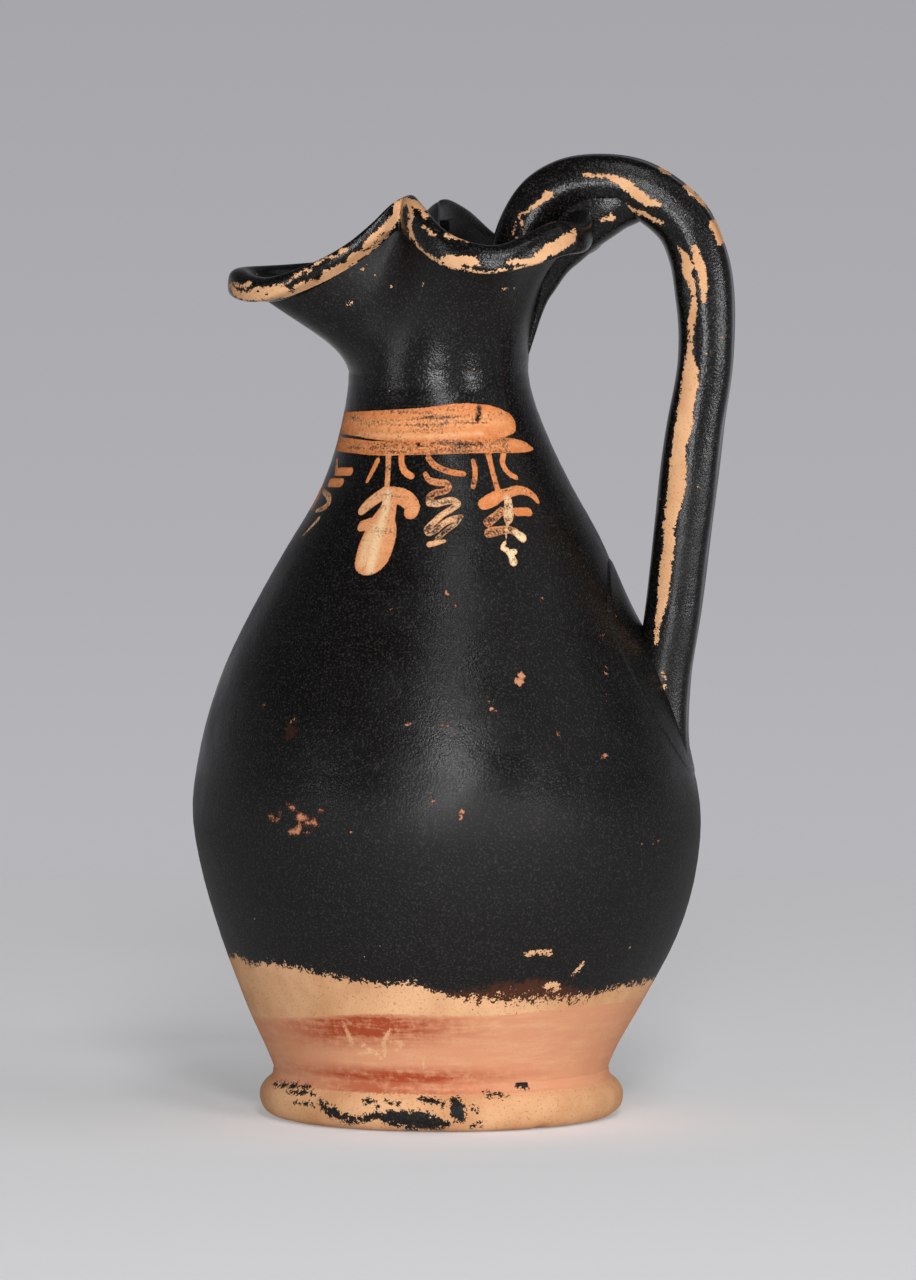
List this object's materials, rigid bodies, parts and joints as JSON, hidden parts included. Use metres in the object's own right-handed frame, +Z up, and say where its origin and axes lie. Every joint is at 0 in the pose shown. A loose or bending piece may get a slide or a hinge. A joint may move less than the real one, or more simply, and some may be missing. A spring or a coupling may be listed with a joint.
{
  "type": "trefoil oinochoe",
  "caption": "Small black-glazed wine jug with a pinched trefoil mouth, rolled lip, high strap handle and ring foot, for pouring.",
  "frame": {"origin": "middle of the box round jug and handle, on the plane that the foot stands on", "axes": "+Z up, +X towards the handle, -X towards the pouring lobe, -Y the side with the painted ornament in view"},
  "size_m": [0.0927, 0.0866, 0.1651],
  "materials": {
    "black_gloss": "gloss",
    "bare_clay": "matte"
  },
  "bodies": {
    "root": {"belly": "black_gloss", "neck_and_mouth": "black_gloss", "rolled_lip": "black_gloss", "foot_ring": "bare_clay", "handle": "black_gloss", "handle_top_clay": "black_gloss", "handle_base_clay": "black_gloss"}
  },
  "joints": []
}
